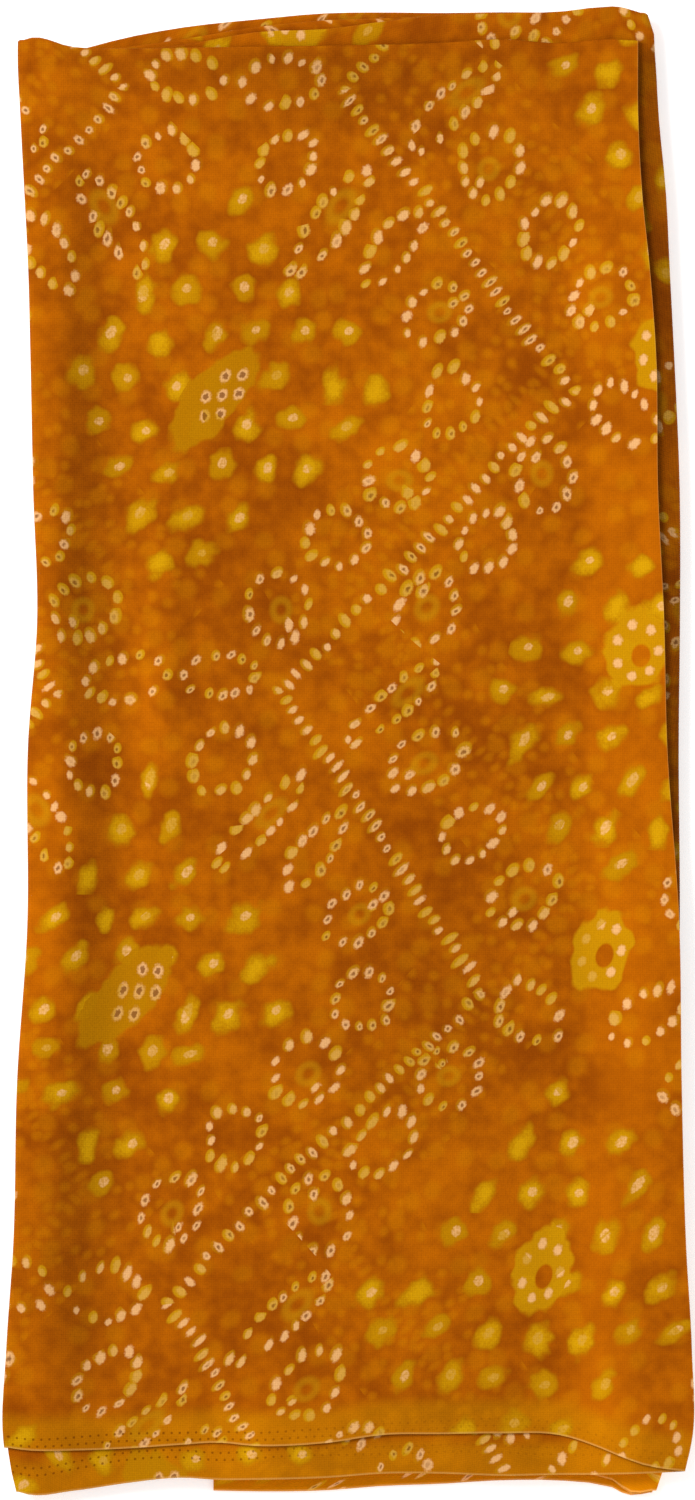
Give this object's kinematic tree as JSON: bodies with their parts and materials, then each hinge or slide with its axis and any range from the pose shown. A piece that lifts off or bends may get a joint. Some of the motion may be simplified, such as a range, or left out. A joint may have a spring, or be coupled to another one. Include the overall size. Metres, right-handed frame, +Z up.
{
  "type": "folded printed georgette fabric",
  "caption": "Length of sheer yellow-orange georgette with a dotted tie-dye pattern, folded in half across its width and back and forth lengthwise, lying flat.",
  "frame": {"origin": "middle of the bounding box's bottom face, on the surface that the cloth lies on", "axes": "+X to the right along the short side, +Y along the long side towards the fold that halves the cloth's width, +Z up out of the stack"},
  "size_m": [0.2622, 0.566, 0.015],
  "materials": {
    "georgette": "sheer crepe weave, dull, yellow-orange with pale ringed dots"
  },
  "bodies": {
    "root": {"folded_cloth": "georgette"}
  },
  "joints": []
}
